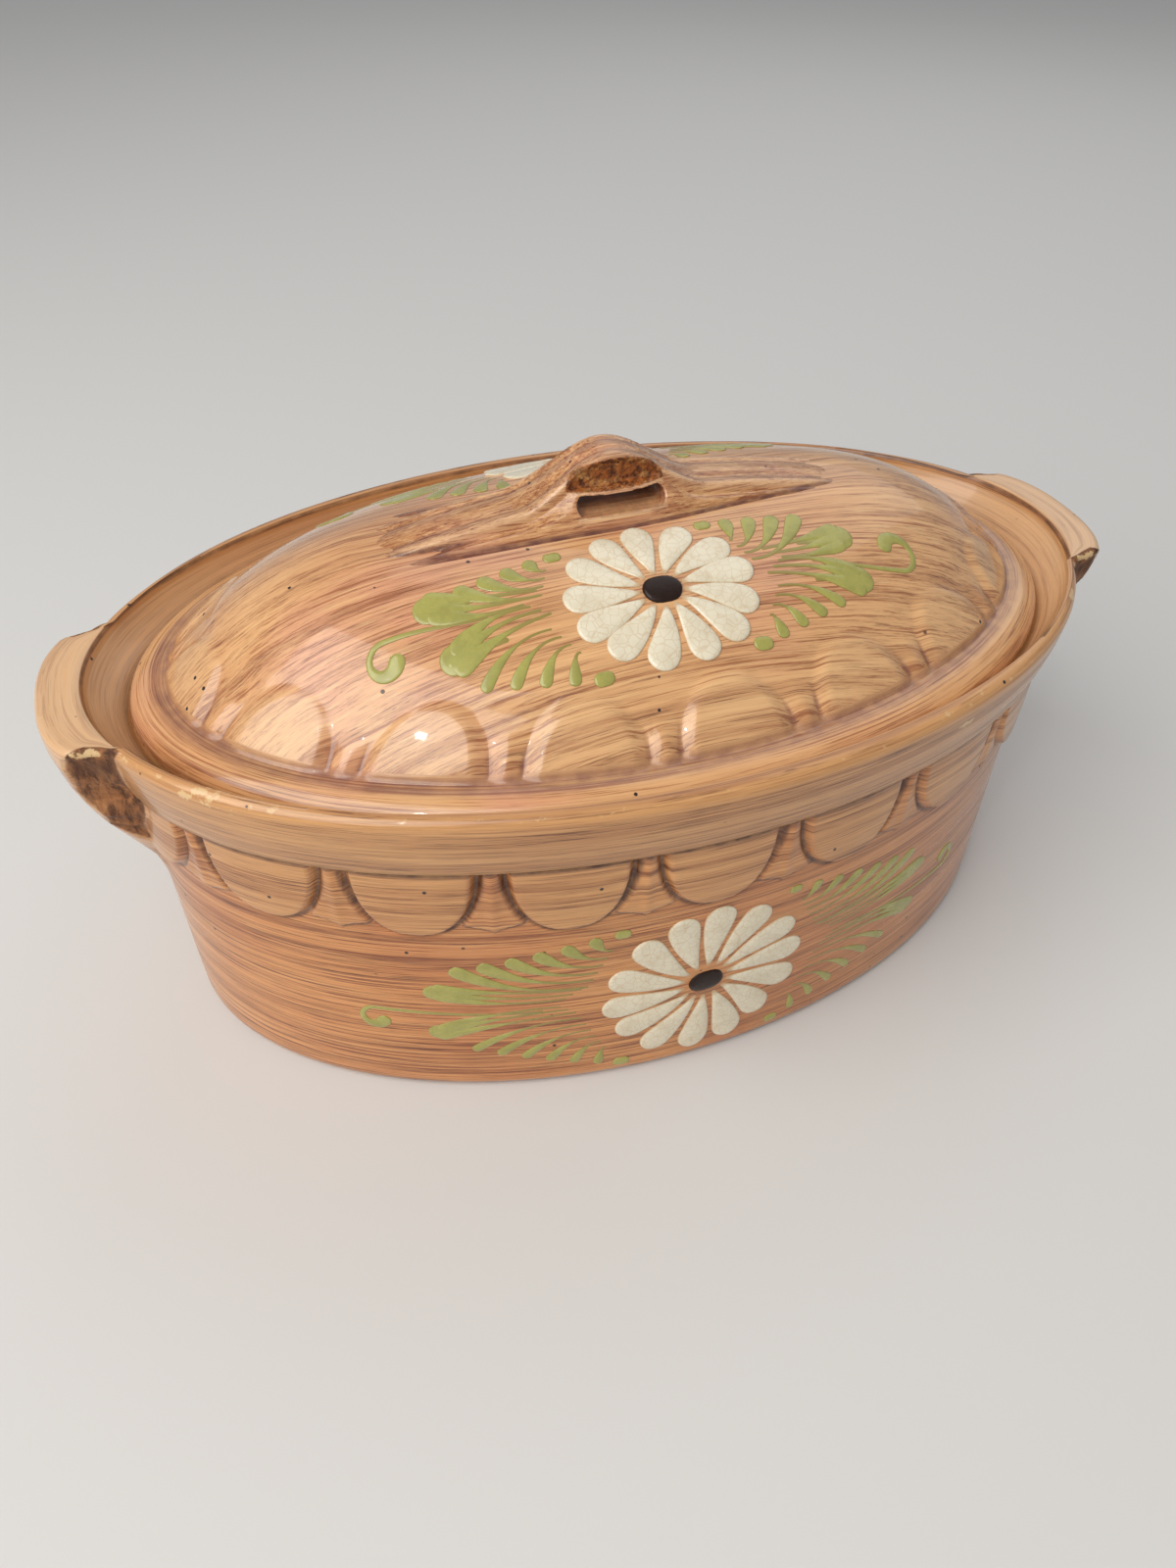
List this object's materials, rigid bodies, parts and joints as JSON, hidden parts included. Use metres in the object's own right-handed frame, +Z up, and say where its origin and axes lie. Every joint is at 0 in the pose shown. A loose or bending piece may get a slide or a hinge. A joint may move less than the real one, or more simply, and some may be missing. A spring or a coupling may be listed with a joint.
{
  "type": "oval lidded casserole pot",
  "caption": "Deep oval glazed earthenware casserole with end lugs, a moulded frieze, slip-trailed daisies and a domed lid with a humped strap handle.",
  "frame": {"origin": "middle of the underside, where the pot stands", "axes": "+Z up, X along the pot's length, -Y the front"},
  "size_m": [0.43, 0.2484, 0.2192],
  "materials": {
    "wall_glaze": "glossy amber glaze over brushed brown slip",
    "rim_glaze": "semi-gloss caramel glaze, worn at the edges",
    "lid_glaze": "high-gloss caramel glaze over brushed streaks",
    "handle_glaze": "glossy caramel glaze with rust-brown mottling",
    "cavity_glaze": "glossy plain honey glaze",
    "cream_slip": "glossy raised cream slip with fine crackle",
    "green_slip": "glossy raised green slip",
    "dark_slip": "glossy black-brown slip",
    "bare_clay": "matt unglazed fired clay"
  },
  "bodies": {
    "pot": {"pot_body": "wall_glaze", "rim_band": "rim_glaze", "lug_left": "rim_glaze", "lug_right": "rim_glaze"},
    "lid": {"lid_dome": "lid_glaze", "lid_handle": "handle_glaze"}
  },
  "joints": [
    {"name": "lid_lift", "type": "slide", "parent": "pot", "child": "lid", "axis": [0, 0, 1], "range_m": [0, 0.12]}
  ]
}
